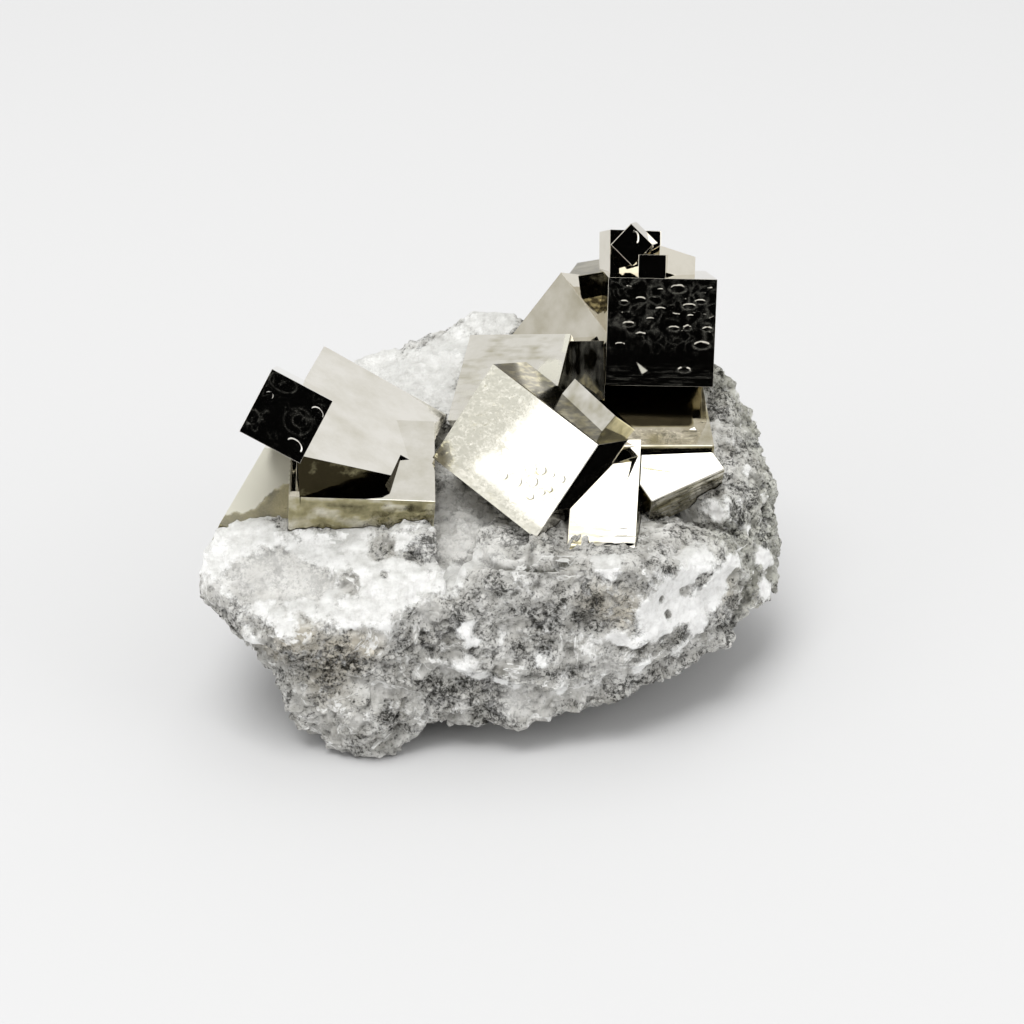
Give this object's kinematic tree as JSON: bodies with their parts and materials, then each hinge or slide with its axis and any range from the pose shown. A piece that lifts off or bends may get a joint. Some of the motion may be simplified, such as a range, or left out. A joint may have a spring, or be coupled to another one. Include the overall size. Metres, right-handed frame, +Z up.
{
  "type": "pyrite specimen",
  "caption": "Intergrown bright pyrite cubes and blocks standing in a broken lump of pale grey marl that rests on a flat foot.",
  "frame": {"origin": "middle of the specimen's footprint box, on the surface it stands on", "axes": "+Z up, +X to the right along the longest extent, -Y towards the side with the broken front face"},
  "size_m": [0.1098, 0.0808, 0.0826],
  "materials": {
    "marl": "matte",
    "pyrite_pale": "polished",
    "pyrite_bright": "polished",
    "pyrite_dark": "polished"
  },
  "bodies": {
    "root": {"matrix": "marl", "left_cluster": "pyrite_pale", "centre_cluster": "pyrite_bright", "front_block": "pyrite_bright", "right_block": "pyrite_bright", "upper_cluster": "pyrite_dark"}
  },
  "joints": []
}
